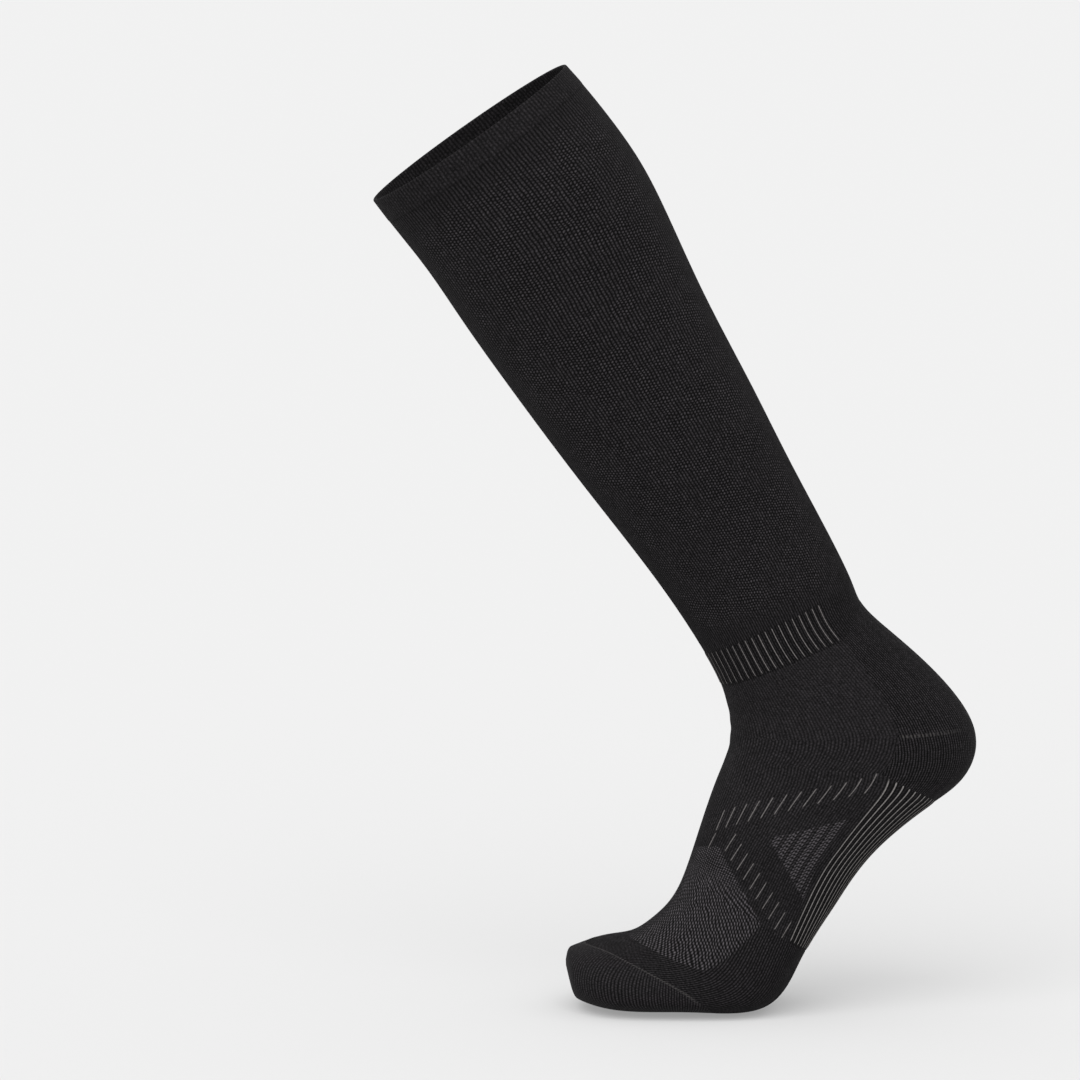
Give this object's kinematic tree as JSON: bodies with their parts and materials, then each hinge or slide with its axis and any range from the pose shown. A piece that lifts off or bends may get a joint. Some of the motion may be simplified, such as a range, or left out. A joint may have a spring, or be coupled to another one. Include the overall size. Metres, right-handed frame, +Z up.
{
  "type": "compression stocking",
  "caption": "Knee-high knitted compression stocking, hollow and filled out as worn, forefoot down, heel raised and leg leaning forward.",
  "frame": {"origin": "middle of the top opening, where the leg holds the stocking", "axes": "+Z up, toes towards -X, heel towards +X, big toe and inner ankle towards +Y"},
  "size_m": [0.3023, 0.1056, 0.4745],
  "materials": {
    "leg_knit": "charcoal black compression knit, fine ribs, matt with a slight sheen",
    "welt_knit": "charcoal black double welt, matt",
    "line_knit": "charcoal black ribbed knit with thin warm-grey lines, matt",
    "pad_knit": "near-black dense plain knit, matt"
  },
  "bodies": {
    "root": {"welt": "welt_knit", "calf": "leg_knit", "lower_leg": "leg_knit", "ankle_band": "line_knit", "ankle": "leg_knit", "heel": "pad_knit", "foot": "line_knit", "forefoot": "pad_knit", "toe": "pad_knit"}
  },
  "joints": []
}
